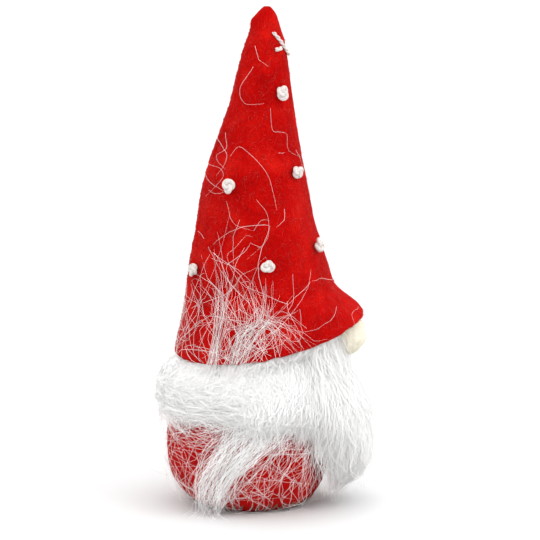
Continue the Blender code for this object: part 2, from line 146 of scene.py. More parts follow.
class Skin:
    """Outer face of a shape, read as radius by height and angle round an upright axis."""

    def __init__(self, names, axis_y, low, high, rows, columns=180):
        self.axis_y = axis_y
        self.low = low
        self.high = high
        self.columns = columns
        self.heights = np.linspace(low, high, rows)
        self.read([NODES[name] for name in names], 2.0)

    def read(self, objects, blur=0.7):
        """Takes the radii from the objects' outer faces, for the CAD nodes or for settled felt."""
        trees = [BVHTree.FromPolygons([v.co for v in obj.data.vertices],
                                      [p.vertices for p in obj.data.polygons]) for obj in objects]
        table = np.full((len(self.heights), self.columns), np.nan)
        far = 0.09
        for row, height in enumerate(self.heights):
            for column in range(self.columns):
                angle = column * TAU / self.columns
                out = Vector((math.sin(angle), -math.cos(angle), 0.0))
                start = Vector((0.0, self.axis_y, height)) + out * far
                for tree in trees:
                    hit = tree.ray_cast(start, -out, far)
                    if hit[0] is not None:
                        reach = far - hit[3]
                        if not reach <= table[row, column]:  # an empty cell is nan
                            table[row, column] = reach
        self.table = self._smooth(self._fill(table), blur)

    def _fill(self, table):
        """Columns carry their nearest known radius into the rows where nothing was hit."""
        for column in range(self.columns):
            known = np.flatnonzero(~np.isnan(table[:, column]))
            if len(known):
                table[:, column] = np.interp(np.arange(len(table)), known, table[known, column])
            else:
                table[:, column] = 0.0
        return table

    @staticmethod
    def _smooth(table, blur):
        reach = int(3 * blur)
        weights = np.exp(-0.5 * (np.arange(-reach, reach + 1) / blur) ** 2)
        weights /= weights.sum()
        around = sum(w * np.roll(table, k, axis=1) for w, k in zip(weights, range(-reach, reach + 1)))
        padded = np.pad(around, ((reach, reach), (0, 0)), mode="reflect", reflect_type="odd")
        rows = len(table)
        return sum(w * padded[k:k + rows] for k, w in enumerate(weights))

    def radius(self, height, angle):
        table = self.table
        rows = len(self.heights)
        row = np.clip((height - self.low) / (self.high - self.low) * (rows - 1), 0.0, rows - 1.001)
        column = (angle / TAU * self.columns) % self.columns
        r0 = row.astype(int)
        c0 = column.astype(int) % self.columns
        c1 = (c0 + 1) % self.columns
        fr = row - r0
        fc = column - column.astype(int)
        below = table[r0, c0] * (1 - fc) + table[r0, c1] * fc
        above = table[r0 + 1, c0] * (1 - fc) + table[r0 + 1, c1] * fc
        return below * (1 - fr) + above * fr

    def place(self, height, angle, radius):
        return np.stack([radius * np.sin(angle), self.axis_y - radius * np.cos(angle),
                         height + 0.0 * angle], axis=-1)

    def point(self, height, angle, lift=0.0):
        return self.place(height, angle, self.radius(height, angle) + lift)


def read_brim(skin, low, high):
    """Height of the hat's lower edge by angle, smoothed."""
    mesh = NODES["hat"].data
    tree = BVHTree.FromPolygons([v.co for v in mesh.vertices], [p.vertices for p in mesh.polygons])
    edge = np.zeros(skin.columns)
    for column in range(skin.columns):
        angle = column * TAU / skin.columns
        out = Vector((math.sin(angle), -math.cos(angle), 0.0))
        bottom, top = low, high
        while top - bottom > 0.02 * MM:
            middle = (bottom + top) / 2.0
            start = Vector((0.0, skin.axis_y, middle)) + out * 0.09
            if tree.ray_cast(start, -out, 0.09)[0] is None:
                bottom = middle
            else:
                top = middle
        edge[column] = top
    weights = np.exp(-0.5 * (np.arange(-6, 7) / 2.5) ** 2)
    weights /= weights.sum()
    return sum(w * np.roll(edge, k) for w, k in zip(weights, range(-6, 7)))


def ring_mesh(name, grid, top_pole=None, bottom_pole=None):
    """Mesh from rows of points, closed round each row, with a point closing either end."""
    rows, columns = grid.shape[:2]
    points = grid.reshape(-1, 3)
    index = np.arange(rows * columns).reshape(rows, columns)
    after = np.roll(index, -1, axis=1)
    faces = np.stack([index[:-1], after[:-1], after[1:], index[1:]], axis=-1).reshape(-1, 4).tolist()
    points = points.tolist()
    if top_pole is not None:
        points.append(tuple(top_pole))
        faces += [(a, b, len(points) - 1) for a, b in zip(index[-1], after[-1])]
    if bottom_pole is not None:
        points.append(tuple(bottom_pole))
        faces += [(b, a, len(points) - 1) for a, b in zip(index[0], after[0])]
    mesh = bpy.data.meshes.new(name)
    mesh.from_pydata(points, [], faces)
    mesh.shade_smooth()
    return mesh


def solidify(obj, thickness):
    modifier = obj.modifiers.new("Solidify", "SOLIDIFY")
    modifier.thickness = thickness
    modifier.offset = -1.0


def settle(obj, held, spare, stiffness, most):
    """Small settling of sewn felt, by cloth simulation of an enlarged copy.

    The felt is cut larger than its pattern by the share spare, and held = 1 where it is sewn or
    glued down. A light pressure stands for the filling, and there is no filling body, so the free
    felt mostly sinks inwards. No vertex is moved by more than most, and that limit sets the depth on
    much of the free felt.
    """
    start = np.array([v.co for v in obj.data.vertices])
    mesh = obj.data.copy()
    mesh.vertices.foreach_set("co", (start * CLOTH_ENLARGED).ravel())
    copy = link("settling", mesh)
    group = copy.vertex_groups.new(name="held")
    for index, weight in enumerate(held):
        if weight > 0.01:
            group.add([index], float(weight), "REPLACE")
    cloth = copy.modifiers.new("settling", "CLOTH")
    for key, value in CLOTH_SETTINGS.items():
        setattr(cloth.settings, key, value)
    cloth.settings.bending_stiffness = stiffness
    cloth.settings.shrink_min = -spare
    cloth.settings.vertex_group_mass = "held"
    cloth.collision_settings.use_collision = False
    cloth.point_cache.frame_start = 1
    cloth.point_cache.frame_end = CLOTH_FRAMES
    scene = bpy.context.scene
    for number in range(1, CLOTH_FRAMES + 1):
        scene.frame_set(number)
    settled = copy.evaluated_get(bpy.context.evaluated_depsgraph_get())
    move = np.array([v.co for v in settled.data.vertices]) / CLOTH_ENLARGED - start
    scene.frame_set(1)
    bpy.data.objects.remove(copy)
    bpy.data.meshes.remove(mesh)
    size = np.linalg.norm(move, axis=1, keepdims=True)
    print(f"settled {obj.name}: mean {size.mean() / MM:.3f} mm, most {size.max() / MM:.3f} mm")
    move = move * (most / np.maximum(size, 1e-9)) * np.tanh(size / most)
    obj.data.vertices.foreach_set("co", (start + move).ravel())
    obj.data.update()


def tubes_mesh(name, paths, radii, sides=3, closed=False):
    """Thin tubes: paths is (tubes, points, 3), radii is (tubes, points)."""
    count, points = paths.shape[:2]
    if closed:
        along = np.roll(paths, -1, axis=1) - np.roll(paths, 1, axis=1)
    else:
        along = np.gradient(paths, axis=1)
    along = unit(along)
    reference = unit(np.cross(along[:, :1], np.array([0.31, 0.17, 0.93])))
    side = unit(np.cross(np.cross(along, reference + 0.0 * along), along))
    up = np.cross(along, side)
    turn = np.arange(sides) * TAU / sides
    ring = (np.cos(turn)[:, None] * side[:, :, None, :] + np.sin(turn)[:, None] * up[:, :, None, :])
    verts = paths[:, :, None, :] + radii[:, :, None, None] * ring
    base = np.arange(count)[:, None, None] * points * sides
    last = points if closed else points - 1
    k = np.arange(last)[None, :, None]
    nxt = (k + 1) % points
    j = np.arange(sides)[None, None, :]
    j1 = (j + 1) % sides
    quads = np.stack([base + k * sides + j, base + k * sides + j1,
                      base + nxt * sides + j1, base + nxt * sides + j], axis=-1).reshape(-1, 4)
    mesh = bpy.data.meshes.new(name)
    mesh.vertices.add(count * points * sides)
    mesh.vertices.foreach_set("co", verts.astype(np.float32).ravel())
    caps = 0 if closed else 2 * count
    mesh.loops.add(len(quads) * 4 + caps * sides)
    mesh.polygons.add(len(quads) + caps)
    loops = [quads.ravel()]
    starts = [np.arange(len(quads)) * 4]
    if caps:
        first = base[:, 0, 0][:, None] + np.arange(sides)[None, ::-1]
        final = base[:, 0, 0][:, None] + (points - 1) * sides + np.arange(sides)[None, :]
        both = np.concatenate([first, final])
        loops.append(both.ravel())
        starts.append(len(quads) * 4 + np.arange(caps) * sides)
    mesh.loops.foreach_set("vertex_index", np.concatenate(loops).astype(np.int32))
    mesh.polygons.foreach_set("loop_start", np.concatenate(starts).astype(np.int32))
    cell_uvs(mesh, count, points, sides, last, caps, closed)
    mesh.update(calc_edges=True)
    mesh.validate()
    mesh.shade_smooth()
    return mesh


def cell_uvs(mesh, count, points, sides, last, caps, closed):
    """Each tube gets its own cell of the square, with its length up the cell."""
    across = math.ceil(math.sqrt(count))
    cell = 1.0 / across
    tube = np.arange(count)[:, None, None, None]
    k = np.arange(last)[None, :, None, None]
    j = np.arange(sides)[None, None, :, None]
    u = (j + np.array([0, 1, 1, 0])) / sides
    v = (k + np.array([0, 0, 1, 1])) / last
    u = (tube % across + 0.1 + 0.8 * (u + 0.0 * k)) * cell
    v = (tube // across + 0.1 + 0.8 * (v + 0.0 * j)) * cell
    flat = np.stack([u, v], axis=-1).reshape(-1, 2)
    if caps:
        spot = np.arange(caps) % count
        ends = (np.arange(caps) >= count).astype(float)
        corner = np.stack([(spot % across + 0.1) * cell, (spot // across + 0.1 + 0.8 * ends) * cell],
                          axis=-1)
        fan = np.stack([np.cos(np.arange(sides) * 2.1), np.sin(np.arange(sides) * 2.1)], axis=-1)
        cap = corner[:, None, :] + 0.03 * cell * fan[None]
        flat = np.concatenate([flat, cap.reshape(-1, 2)])
    layer = mesh.uv_layers.new(name="OFBake")
    layer.data.foreach_set("uv", flat.astype(np.float32).ravel())


# ---------------------------------------------------------------- camera, stage, light

def make_camera():
    camera = bpy.data.cameras.new("camera")
    camera.sensor_width = SENSOR
    camera.lens = SENSOR * CAMERA_DISTANCE / VIEW_WIDTH
    camera.clip_start = 0.01
    camera.clip_end = 50.0
    obj = link("camera", camera)
    level = math.cos(CAMERA_ELEVATION)
    back = Vector((math.sin(CAMERA_AZIMUTH) * level, -math.cos(CAMERA_AZIMUTH) * level,
                   math.sin(CAMERA_ELEVATION)))
    obj.location = CAMERA_AIM + back * CAMERA_DISTANCE
    obj.rotation_euler = back.to_track_quat("Z", "Y").to_euler()
    bpy.context.scene.camera = obj


def make_stage():
    mesh = bpy.data.meshes.new("floor")
    bm = bmesh.new()
    bmesh.ops.create_circle(bm, cap_ends=True, segments=64, radius=FLOOR_RADIUS)
    bm.to_mesh(mesh)
    bm.free()
    floor = link("floor", mesh)
    material, shader = new_material("floor_white", (0.57, 0.57, 0.57), 0.9)
    shader.inputs["Specular IOR Level"].default_value = 0.1
    mesh.materials.append(material)


def softbox(name, azimuth, elevation, size, power):
    light = bpy.data.lights.new(name, "AREA")
    light.shape = "DISK"
    light.size = size
    light.energy = power
    obj = link(name, light)
    azimuth, elevation = math.radians(azimuth), math.radians(elevation)
    out = Vector((math.sin(azimuth) * math.cos(elevation), -math.cos(azimuth) * math.cos(elevation),
                  math.sin(elevation)))
    obj.location = LIGHT_AIM + out * LIGHT_DISTANCE
    obj.rotation_euler = out.to_track_quat("Z", "Y").to_euler()


def make_light():
    world = bpy.data.worlds.new("studio")
    bpy.context.scene.world = world
    world.use_nodes = True
    background = world.node_tree.nodes["Background"]
    background.inputs["Color"].default_value = (1.0, 1.0, 1.0, 1.0)
    background.inputs["Strength"].default_value = WORLD_STRENGTH
    softbox("key_light", -30.0, 40.0, 0.6, 3.0)
    softbox("fill_light", -150.0, 35.0, 0.7, 0.5)
    softbox("far_light", 80.0, 50.0, 0.7, 0.5)
    settings = bpy.context.scene.view_settings
    settings.view_transform = "Standard"
    settings.look = "None"


# ---------------------------------------------------------------- materials

def new_material(name, colour, roughness):
    material = bpy.data.materials.new(name)
    material.use_nodes = True
    shader = material.node_tree.nodes["Principled BSDF"]
    shader.inputs["Base Color"].default_value = (*colour, 1.0)
    shader.inputs["Roughness"].default_value = roughness
    return material, shader


def add(material, kind, **values):
    node = material.node_tree.nodes.new(kind)
    for key, value in values.items():
        setattr(node, key, value)
    return node


def wire(material, source, output, target, socket):
    material.node_tree.links.new(source.outputs[output], target.inputs[socket])


def noise(material, size, detail=3.0, roughness=0.55, distortion=0.0, stretch=None):
    """Noise whose grain is about size metres across, laid in the object's own space."""
    coordinates = add(material, "ShaderNodeTexCoord")
    texture = add(material, "ShaderNodeTexNoise")
    texture.inputs["Scale"].default_value = 1.0 / size
    texture.inputs["Detail"].default_value = detail
    texture.inputs["Roughness"].default_value = roughness
    texture.inputs["Distortion"].default_value = distortion
    if stretch:
        mapping = add(material, "ShaderNodeMapping")
        mapping.inputs["Scale"].default_value = stretch
        wire(material, coordinates, "Object", mapping, "Vector")
        wire(material, mapping, "Vector", texture, "Vector")
    else:
        wire(material, coordinates, "Object", texture, "Vector")
    return texture


def ramp(material, source, output, stops):
    """Colour ramp on one output of a node; stops are (place, colour)."""
    node = add(material, "ShaderNodeValToRGB")
    elements = node.color_ramp.elements
    while len(elements) < len(stops):
        elements.new(0.5)
    for element, (position, colour) in zip(elements, stops):
        element.position = position
        element.color = (*colour, 1.0)
    wire(material, source, output, node, "Fac")
    return node


def multiply(material, first, second):
    """Product of two (node, output) colours, on the node's output 2."""
    node = add(material, "ShaderNodeMix", data_type="RGBA", blend_type="MULTIPLY")
    node.inputs[0].default_value = 1.0
    for (source, output), slot in ((first, 6), (second, 7)):
        wire(material, source, output, node, slot)
    return node


def bump(material, shader, source, output, distance, strength, normal=None):
    node = add(material, "ShaderNodeBump")
    node.inputs["Strength"].default_value = strength
    node.inputs["Distance"].default_value = distance
    wire(material, source, output, node, "Height")
    if normal:
        wire(material, normal, "Normal", node, "Normal")
    wire(material, node, "Normal", shader, "Normal")
    return node


def felt_material(name, dark, middle, light, sheen, sheen_weight=0.2, contrast=0.16):
    """Pressed wool: faintly cloudy colour, short swirled fibres and a soft nap."""
    material, shader = new_material(name, middle, 0.95)
    clouds = noise(material, 9.0 * MM, detail=4.0, roughness=0.55, distortion=0.3)
    fibres = noise(material, 1.1 * MM, detail=5.0, roughness=0.7, distortion=3.0)
    tone = ramp(material, clouds, "Fac", [(0.25, dark), (0.52, middle), (0.80, light)])
    low, high = 1.0 - contrast, 1.0 + 1.2 * contrast
    strand = ramp(material, fibres, "Fac", [(0.36, (low, low, low)), (0.5, (1, 1, 1)),
                                            (0.66, (high, high, high))])
    colour = multiply(material, (tone, "Color"), (strand, "Color"))
    wire(material, colour, 2, shader, "Base Color")
    nap = noise(material, 0.45 * MM, detail=4.0, roughness=0.65, distortion=1.8)
    coarse = bump(material, shader, fibres, "Fac", 0.32 * MM, 0.8)
    bump(material, shader, nap, "Fac", 0.12 * MM, 0.6, coarse)
    shader.inputs["Specular IOR Level"].default_value = 0.04
    shader.inputs["Sheen Weight"].default_value = sheen_weight
    shader.inputs["Sheen Roughness"].default_value = 0.5
    shader.inputs["Sheen Tint"].default_value = (*sheen, 1.0)
    return material


def hair_material(name, low, high, roughness=0.5):
    """Straight synthetic pile: slow changes of tone along and between the strands."""
    material, shader = new_material(name, high, roughness)
    tone = noise(material, 2.2 * MM, detail=2.0, stretch=(1.0, 1.0, 0.25))
    colour = ramp(material, tone, "Fac", [(0.3, low), (0.6, high)])
    wire(material, colour, "Color", shader, "Base Color")
    shader.inputs["Specular IOR Level"].default_value = 0.25
    shader.inputs["Sheen Weight"].default_value = 0.05
    return material


def yarn_material(name, low, high, fibre=0.35 * MM):
    """Spun thread: fine fibres, with painted shade darkening their hollows."""
    material, shader = new_material(name, high, 0.85)
    tone = noise(material, fibre, detail=3.0, distortion=0.8)
    # the low colour sits in the bump's hollows: painted shade
    colour = ramp(material, tone, "Fac", [(0.32, low), (0.58, high)])
    wire(material, colour, "Color", shader, "Base Color")
    bump(material, shader, tone, "Fac", 0.12 * MM, 0.6)
    shader.inputs["Specular IOR Level"].default_value = 0.2
    shader.inputs["Sheen Weight"].default_value = 0.2
    return material


def woven_material(name, dark, light, pitch):
    """Plain cloth: two crossing sets of threads."""
    material, shader = new_material(name, light, 0.9)
    coordinates = add(material, "ShaderNodeTexCoord")
    threads = []
    for direction in ("X", "Z"):
        wave = add(material, "ShaderNodeTexWave", bands_direction=direction)
        wave.inputs["Scale"].default_value = 0.32 / pitch
        wave.inputs["Distortion"].default_value = 1.5
        wave.inputs["Detail Scale"].default_value = 2.0
        wire(material, coordinates, "Object", wave, "Vector")
        threads.append(wave)
    weave = multiply(material, (threads[0], "Color"), (threads[1], "Color"))
    tone = ramp(material, weave, 2, [(0.05, dark), (0.55, light)])
    wire(material, tone, "Color", shader, "Base Color")
    bump(material, shader, weave, 2, 0.15 * MM, 0.7)
    return material


def make_materials():
    return {
        "hat_felt": felt_material("hat_felt", (0.25, 0.0004, 0.0003), (0.33, 0.0010, 0.0006),
                                  (0.44, 0.0060, 0.0030), (1.0, 0.12, 0.08), 0.04, 0.34),
        # the sack's felt is the hat's red felt made a little darker, as painted shade
        "sack_felt": felt_material("sack_felt", (0.24, 0.001, 0.001), (0.32, 0.002, 0.0015),
                                   (0.40, 0.006, 0.004), (1.0, 0.12, 0.08), 0.05, 0.24),
        "red_fibre": hair_material("red_fibre", (0.36, 0.004, 0.003), (0.52, 0.022, 0.016), 0.8),
        "loose_hair": hair_material("loose_hair", (0.76, 0.73, 0.72), (0.92, 0.90, 0.89)),
        "fur": hair_material("fur", (0.955, 0.95, 0.94), (0.99, 0.99, 0.985)),
        "undercoat": felt_material("undercoat", (0.90, 0.89, 0.88), (0.95, 0.945, 0.94),
                                   (0.98, 0.98, 0.975), (1.0, 1.0, 1.0), 0.2, 0.06),
        "nose_felt": felt_material("nose_felt", (0.53, 0.485, 0.375), (0.64, 0.60, 0.49),
                                   (0.73, 0.70, 0.60), (1.0, 0.95, 0.85), 0.1, 0.12),
        # white yarn, its colour dimmed and tinted pink-grey as painted shade
        "yarn": yarn_material("white_yarn", (0.34, 0.30, 0.28), (0.58, 0.54, 0.515)),
        "red_thread": yarn_material("red_thread", (0.22, 0.001, 0.001), (0.34, 0.004, 0.003),
                                    0.2 * MM),
        "dark_thread": yarn_material("dark_thread", (0.05, 0.02, 0.012), (0.16, 0.08, 0.05),
                                     0.2 * MM),
        "backing": woven_material("knit_backing", (0.52, 0.51, 0.48), (0.80, 0.79, 0.76), 0.7 * MM),
        "ballast": woven_material("ballast_cloth", (0.48, 0.43, 0.33), (0.72, 0.66, 0.54), 0.5 * MM),
        "wadding": felt_material("wadding", (0.70, 0.70, 0.69), (0.86, 0.86, 0.85),
                                 (0.93, 0.93, 0.93), (1.0, 1.0, 1.0), 0.3),
        "card": felt_material("cardboard", (0.34, 0.22, 0.12), (0.42, 0.28, 0.16),
                              (0.50, 0.35, 0.21), (1.0, 0.9, 0.8), 0.0),
        "glue": yarn_material("hot_glue", (0.70, 0.66, 0.52), (0.82, 0.78, 0.66), 2.0 * MM),
    }


HIDDEN_FINISHES = {
    "base_disc": "sack_felt", "base_stiffener": "card", "ballast_pouch": "ballast",
    "body_filling": "wadding", "hat_filling": "wadding", "gather_tie": "yarn",
    "beard_backing": "backing", "hair_backing": "backing",
    "hat_glue_ring": "glue", "nose_glue_pad": "glue",
}


def finish_carried_nodes():
    for name, finish in HIDDEN_FINISHES.items():
        NODES[name].data.materials.clear()
        NODES[name].data.materials.append(MATERIALS[finish])


# ---------------------------------------------------------------- build

make_camera()
make_stage()
make_light()
MATERIALS = make_materials()

HAT_LOW, HAT_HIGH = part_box("hat")
HAT_AXIS = -4.3 * MM
HAT = Skin(["hat"], HAT_AXIS, HAT_LOW.z - 1.0 * MM, HAT_HIGH.z - 0.3 * MM, 150)
BRIM = read_brim(HAT, HAT_LOW.z - 1.0 * MM, HAT_LOW.z + 16.0 * MM)
SACK_LOW, SACK_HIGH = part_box("body_cover")
SACK_AXIS = -0.8 * MM
SACK = Skin(["body_cover"], SACK_AXIS, SACK_LOW.z + 0.1 * MM, SACK_HIGH.z - 0.2 * MM, 110)


def brim_at(angle):
    column = (angle / TAU * len(BRIM)) % len(BRIM)
    c0 = column.astype(int) % len(BRIM)
    share = column - column.astype(int)
    return BRIM[c0] * (1 - share) + BRIM[(c0 + 1) % len(BRIM)] * share


def make_hat():
    columns, rows = 240, 150
    angle = (np.arange(columns) * TAU / columns)[None, :] + np.zeros((rows, 1))
    share = np.linspace(0.0, 1.0, rows)[:, None]
    low = brim_at(angle)
    ragged = 0.12 * MM * wave_field(HAT.point(low, angle), 2.5 * MM, 5)
    top = HAT.high - 0.4 * MM
    height = low + (top - low) * share + ragged * (1.0 - share) ** 8
    radius = HAT.radius(height, angle)
    flat = HAT.place(height, angle, radius)
    calm = 0.25 + 0.75 * ease(radius, 3.0 * MM, 12.0 * MM)
    radius = radius + calm * (0.22 * MM * wave_field(flat, 14.0 * MM, 11)
                              + 0.07 * MM * wave_field(flat, 2.6 * MM, 12))
    across = (np.mod(angle, TAU) - math.pi) * radius
    seam = np.exp(-((across / (0.55 * MM)) ** 2)) - 0.5 * np.exp(-((across / (1.5 * MM)) ** 2))
    radius = radius - SEAM_DEPTH * seam * ease(height, 50.0 * MM, 56.0 * MM)
    lump = np.exp(-(((height - TIP_LUMP_HEIGHT) / (1.7 * MM)) ** 2))
    lump = lump * np.exp(-((across / (2.0 * MM)) ** 2))
    radius = radius + TIP_LUMP * lump
    grid = HAT.place(height, angle, radius)
    pole = grid[-1].mean(axis=0) + np.array([0.0, 0.0, 0.15 * MM])
    hat = link("felt_hat", ring_mesh("felt_hat", grid, top_pole=pole))
    level = np.array([v.co.z for v in hat.data.vertices])
    held = 1.0 - ease(level, HAT_LOW.z + 14.0 * MM, HAT_LOW.z + 22.0 * MM)
    held = np.maximum(held, ease(level, 134.0 * MM, 142.0 * MM))
    back = np.append(np.exp(-((across / (3.5 * MM)) ** 2)).ravel(), 1.0)
    settle(hat, np.maximum(held, back), 0.008, 12.0, 0.3 * MM)
    HAT.read([hat])
    solidify(hat, FELT)
    hat.data.materials.append(MATERIALS["hat_felt"])
    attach(hat, "root")
    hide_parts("hat")


def make_sack():
    columns, rows = 200, 120
    angle = (np.arange(columns) * TAU / columns)[None, :] + np.zeros((rows, 1))
    share = np.linspace(0.0, 1.0, rows)[:, None]
    height = SACK.low + (SACK.high - SACK.low) * share + 0.0 * angle
    radius = SACK.radius(height, angle)
    flat = SACK.place(height, angle, radius)
    calm = ease(radius, 4.0 * MM, 14.0 * MM)
    radius = radius + calm * (0.18 * MM * wave_field(flat, 9.0 * MM, 21)
                              + 0.08 * MM * wave_field(flat, 2.2 * MM, 22))
    pull = np.cos(angle * 30.0) * np.exp(-((height - SACK.low) / (3.5 * MM)))
    radius = radius + 0.18 * MM * pull
    sack = link("felt_sack", ring_mesh("felt_sack", SACK.place(height, angle, radius)))
    level = np.array([v.co.z for v in sack.data.vertices])
    held = 1.0 - ease(level, SACK.low, SACK.low + 2.0 * MM)
    settle(sack, np.maximum(held, ease(level, 34.0 * MM, 44.0 * MM)), 0.02, 8.0, 0.5 * MM)
    SACK.read([sack])
    solidify(sack, SACK_CLOTH)
    sack.data.materials.append(MATERIALS["sack_felt"])
    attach(sack, "root")
    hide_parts("body_cover")


def make_nose():
    mesh = bpy.data.meshes.new("felt_nose")
    bm = bmesh.new()
    bmesh.ops.create_uvsphere(bm, u_segments=96, v_segments=64, radius=1.0)
    bm.to_mesh(mesh)
    bm.free()
    points = np.array([v.co for v in mesh.vertices])
    world = points * NOSE_RADIUS + np.array(NOSE_CENTRE)
    shape = NOSE_RADIUS * (0.985 + 0.012 * wave_field(world, 5.0 * MM, 31)
                           + 0.005 * wave_field(world, 1.2 * MM, 32))
    streaks = wave_field(points * np.array([1.0, 1.0, 0.12]), 0.16, 33)
    shape = shape + 0.05 * MM * streaks
    mesh.vertices.foreach_set("co", (points * shape[:, None] + np.array(NOSE_CENTRE)).ravel())
    mesh.shade_smooth()
    nose = link("felt_nose", mesh)
    mesh.materials.append(MATERIALS["nose_felt"])
    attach(nose, "root")
    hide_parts("nose_ball")


# ---------------------------------------------------------------- yarn and thread

def own(piece, stands_for):
    """Piece rides with the figure and stands for CAD nodes."""
    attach(piece, "root")
    for node in stands_for:
        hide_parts(node)


def tube_piece(name, paths, radii, material, stands_for=(), sides=3, closed=False):
    piece = link(name, tubes_mesh(name, paths, radii, sides, closed))
    piece.data.materials.append(MATERIALS[material])
    own(piece, stands_for)


def node_points(name):
    return np.array([v.co for v in NODES[name].data.vertices])


def principal_axes(points):
    """Centre of a cloud of points and its axes, longest first."""
    centre = (points.max(axis=0) + points.min(axis=0)) / 2.0
    axes = np.linalg.svd(points - points.mean(axis=0), full_matrices=False)[2]
    return centre, axes


def make_knots():
    """French knots: fat yarn wound on itself, pressed down on the felt."""
    t = np.linspace(0.0, TAU, 84, endpoint=False)
    for number in range(1, KNOTS + 1):
        node = f"hat_knot_{number:02d}"
        centre, axes = principal_axes(node_points(node))
        out = axes[2]
        if out @ (centre - np.array([0.0, HAT_AXIS, centre[2]])) < 0.0:
            out = -out
        first = axes[0]
        second = np.cross(out, first)
        rng = np.random.default_rng(400 + number)
        size = rng.uniform(0.93, 1.07)
        swell = 1.0 + 0.10 * np.sin(t + rng.uniform(0.0, TAU))
        swell += 0.06 * np.sin(2 * t + rng.uniform(0.0, TAU))
        reach = (0.98 + 0.50 * np.cos(3.0 * t)) * swell
        local = np.stack([reach * np.cos(2.0 * t) * 1.10, reach * np.sin(2.0 * t) * 0.94,
                          0.50 * np.sin(3.0 * t) + 0.10 * np.cos(2.0 * t)], axis=-1) * size * MM
        path = centre - 0.55 * MM * out + local @ np.stack([first, second, out])
        thick = 0.64 * MM * size * (1.0 + 0.07 * np.sin(7.0 * t))
        tube_piece(f"french_knot_{number:02d}", path[None], thick[None], "yarn",
                   [node], sides=12, closed=True)


def make_tip_stitches():
    """Straight stitches of two-ply yarn near the hat's tip, ends sunk in the felt."""
    for name, node, ply, more in (("straight_stitch", "tip_stitch_long", 0.36 * MM, 0.0),
                                  ("short_stitch", "tip_stitch_short", 0.42 * MM, 0.4 * MM)):
        points = node_points(node)
        centre, axes = principal_axes(points)
        along = axes[0]
        reach = (points - centre) @ along
        start = points[reach < reach.min() + 0.8 * MM].mean(axis=0) - more * along
        end = points[reach > reach.max() - 0.8 * MM].mean(axis=0) + more * along
        t = np.linspace(0.0, 1.0, 40)
        outward = unit((start + end) / 2.0 - np.array([0.0, HAT_AXIS, centre[2]]))
        line = start + (end - start) * t[:, None]
        line = line - outward * (0.55 * MM * (1.0 - np.sin(math.pi * t) ** 0.5))[:, None]
        side = unit(np.cross(end - start, outward))
        length = np.linalg.norm(end - start)
        turn = TAU * length / (3.4 * MM) * t
        plies = []
        for phase in (0.0, math.pi):
            plies.append(line + 0.26 * MM * (np.cos(turn + phase)[:, None] * side
                                             + np.sin(turn + phase)[:, None] * outward))
        radii = np.full((2, 40), ply) * (0.55 + 0.45 * np.sin(math.pi * t) ** 0.3)
        tube_piece(name, np.array(plies), radii, "yarn", [node], sides=10)


def make_hat_seam():
    """Small slanting whip stitches down the back of the hat."""
    count = HAT_STITCHES
    t = np.linspace(-1.0, 1.0, 9)
    low, high = 49.0 * MM, HEIGHT - 8.0 * MM
    middle = low + (high - low) * np.arange(count) / (count - 1)
    height = middle[:, None] + 0.85 * MM * t
    radius = HAT.radius(height, np.full_like(height, math.pi))
    width = np.minimum(0.95 * MM, 0.22 * radius)
    angle = math.pi + width * t / radius
    lift = 0.04 * MM - 0.10 * MM * np.exp(-((t / 0.5) ** 2))
    paths = HAT.point(height, angle, lift + 0.0 * height)
    tube_piece("hat_seam_stitches", paths, np.full((count, 9), 0.20 * MM), "red_thread",
               ["hat_seam_thread"], sides=6)


def make_base_seam():
    """Dark whip stitches that join the sack's edge to its base."""
    count = BASE_STITCHES
    t = np.linspace(-1.0, 1.0, 9)
    rng = np.random.default_rng(77)
    middle = np.arange(count)[:, None] * TAU / count + rng.uniform(-0.02, 0.02, (count, 1))
    angle = middle + 0.035 * t
    height = 1.9 * MM + 1.25 * MM * t + rng.uniform(-0.2, 0.2, (count, 1)) * MM
    paths = SACK.point(height, angle, 0.05 * MM + 0.30 * MM * (1.0 - t ** 2))
    tube_piece("base_seam_stitches", paths, np.full((count, 9), 0.27 * MM), "dark_thread",
               ["base_seam_thread"], sides=6)


# ---------------------------------------------------------------- fur

def smooth_path(keys, samples):
    """Smooth curve through keys (strands, knots, values), sampled evenly."""
    place = np.linspace(0.0, keys.shape[1] - 1.0, samples)
    index = np.minimum(place.astype(int), keys.shape[1] - 2)
    t = (place - index)[None, :, None]
    slope = np.gradient(keys, axis=1)
    return ((2 * t**3 - 3 * t**2 + 1) * keys[:, index] + (t**3 - 2 * t**2 + t) * slope[:, index]
            + (3 * t**2 - 2 * t**3) * keys[:, index + 1] + (t**3 - t**2) * slope[:, index + 1])


def wander(rng, count, samples, waves=(0.6, 1.3, 2.7)):
    """Smooth drift of unit size that starts at zero and grows towards the tip."""
    t = np.linspace(0.0, 1.0, samples)[None]
    total = np.zeros((count, samples))
    for wave in waves:
        swing = rng.normal(size=(count, 1)) / wave
        total += swing * np.sin(TAU * wave * t + rng.uniform(0, TAU, (count, 1)))
    return (total - total[:, :1]) * t ** 0.6


def gather(rng, path, clumps, pull):
    """Strands lean towards the nearest of a few leading strands as they go."""
    leaders = rng.choice(len(path), min(clumps, len(path)), replace=False)
    roots = path[:, 0, :2] * np.array([1.0 / MM, FUR_RADIUS])
    nearest = ((roots[:, None] - roots[leaders][None]) ** 2).sum(-1).argmin(axis=1)
    t = np.linspace(0.0, 1.0, path.shape[1])[None, :, None]
    share = pull * t ** 1.3 * rng.uniform(0.4, 1.0, (len(path), 1, 1))
    return path + (path[leaders][nearest] - path) * share


def hat_from_sack(height, angle):
    """Radius of the hat's outer face, measured from the sack's axis."""
    return HAT.radius(height, angle) + (SACK_AXIS - HAT_AXIS) * np.cos(angle)


